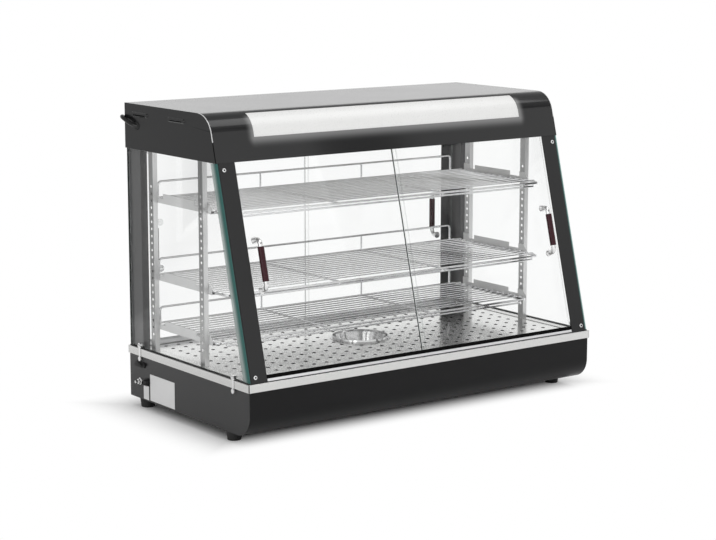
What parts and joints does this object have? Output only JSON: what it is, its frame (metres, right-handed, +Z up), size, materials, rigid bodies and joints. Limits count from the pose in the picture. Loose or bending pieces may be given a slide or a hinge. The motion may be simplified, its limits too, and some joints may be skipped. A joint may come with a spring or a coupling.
{
  "type": "heated display case",
  "caption": "Countertop heated display case: glass cabinet with sloping sliding doors, wire shelves, perforated warm deck with water bowl, and a lit canopy.",
  "frame": {"origin": "on the table under the middle of the footprint", "axes": "+X to the right of a customer facing the sloping front, +Y to the back (staff side), +Z up"},
  "size_m": [0.9153, 0.4843, 0.651],
  "materials": {
    "black_paint": "gloss",
    "stainless": "satin",
    "chrome": "polished",
    "zinc": "satin",
    "clear_glass": "polished",
    "black_rubber": "matte",
    "opal": "satin",
    "aluminium": "satin",
    "brown_grip": "gloss",
    "black_plastic": "matte",
    "white_plastic": "matte",
    "element_steel": "heat-tinted",
    "lamp_glass": "satin",
    "amber": "gloss",
    "bare_plate": "satin"
  },
  "bodies": {
    "case": {"base_rear_panel": "black_paint", "base_shell": "black_paint", "base_side_left": "black_paint", "base_side_right": "black_paint", "blank_plates": "bare_plate", "bonding_stud": "zinc", "cable_gland": "black_plastic", "canopy_shell": "black_paint", "canopy_side_left": "black_paint", "canopy_side_right": "black_paint", "ceiling_panel": "black_paint", "deck_plate": "stainless", "front_lower_track": "aluminium", "front_pillar_left": "black_paint", "front_pillar_right": "black_paint", "front_upper_track": "aluminium", "glass_clips": "chrome", "heating_elements": "element_steel", "indicator_lamp": "amber", "lamp_driver": "white_plastic", "lamp_holders": "white_plastic", "lamp_lead": "black_rubber", "lamp_tube": "lamp_glass", "lead_fittings": "black_rubber", "light_lens": "opal", "pillar_screws": "chrome", "rear_lower_track": "aluminium", "rear_post_left": "black_paint", "rear_post_right": "black_paint", "rear_upper_track": "aluminium", "reflector_plate": "zinc", "rubber_feet": "black_rubber", "shelf_brackets": "zinc", "shelf_pilasters": "zinc", "side_gaskets": "black_rubber", "side_glass_left": "clear_glass", "side_glass_right": "clear_glass", "switch_bodies": "black_plastic", "terminal_block": "white_plastic", "thermostat": "zinc", "trim_frame": "stainless"},
    "front_left_door": {"front_left_door": "clear_glass", "front_left_handle": "chrome", "front_left_grip": "brown_grip"},
    "front_right_door": {"front_right_door": "clear_glass", "front_right_handle": "chrome", "front_right_grip": "brown_grip"},
    "rear_left_door": {"rear_left_door": "clear_glass", "rear_left_handle": "chrome", "rear_left_grip": "brown_grip"},
    "rear_right_door": {"rear_right_door": "clear_glass", "rear_right_handle": "chrome", "rear_right_grip": "brown_grip"},
    "upper_shelf": {"upper_shelf": "chrome"},
    "middle_shelf": {"middle_shelf": "chrome"},
    "lower_shelf": {"lower_shelf": "chrome"},
    "water_bowl": {"water_bowl": "stainless"},
    "thermostat_knob": {"thermostat_knob": "black_plastic"},
    "heat_rocker": {"heat_rocker": "black_plastic"},
    "light_rocker": {"light_rocker": "black_plastic"}
  },
  "joints": [
    {"name": "front_left_door_slide", "type": "slide", "parent": "case", "child": "front_left_door", "axis": [1, 0, 0], "range_m": [0, 0.35]},
    {"name": "front_right_door_slide", "type": "slide", "parent": "case", "child": "front_right_door", "axis": [1, 0, 0], "range_m": [-0.35, 0]},
    {"name": "rear_left_door_slide", "type": "slide", "parent": "case", "child": "rear_left_door", "axis": [1, 0, 0], "range_m": [0, 0.34]},
    {"name": "rear_right_door_slide", "type": "slide", "parent": "case", "child": "rear_right_door", "axis": [1, 0, 0], "range_m": [-0.34, 0]},
    {"name": "upper_shelf_lift", "type": "slide", "parent": "case", "child": "upper_shelf", "axis": [0, 0, 1], "range_m": [0, 0.04]},
    {"name": "middle_shelf_lift", "type": "slide", "parent": "case", "child": "middle_shelf", "axis": [0, 0, 1], "range_m": [0, 0.04]},
    {"name": "lower_shelf_lift", "type": "slide", "parent": "case", "child": "lower_shelf", "axis": [0, 0, 1], "range_m": [0, 0.04]},
    {"name": "water_bowl_lift", "type": "slide", "parent": "case", "child": "water_bowl", "axis": [0, 0, 1], "range_m": [0, 0.03]},
    {"name": "thermostat_turn", "type": "hinge", "parent": "case", "child": "thermostat_knob", "pos_m": [0.07, 0.24, 0.0685], "axis": [0, -1, 0], "range_deg": [0, 270]},
    {"name": "heat_rocker_tip", "type": "hinge", "parent": "case", "child": "heat_rocker", "pos_m": [-0.04, 0.232, 0.0685], "axis": [-1, 0, 0], "range_deg": [0, 20]},
    {"name": "light_rocker_tip", "type": "hinge", "parent": "case", "child": "light_rocker", "pos_m": [0, 0.232, 0.0685], "axis": [-1, 0, 0], "range_deg": [0, 20]}
  ]
}
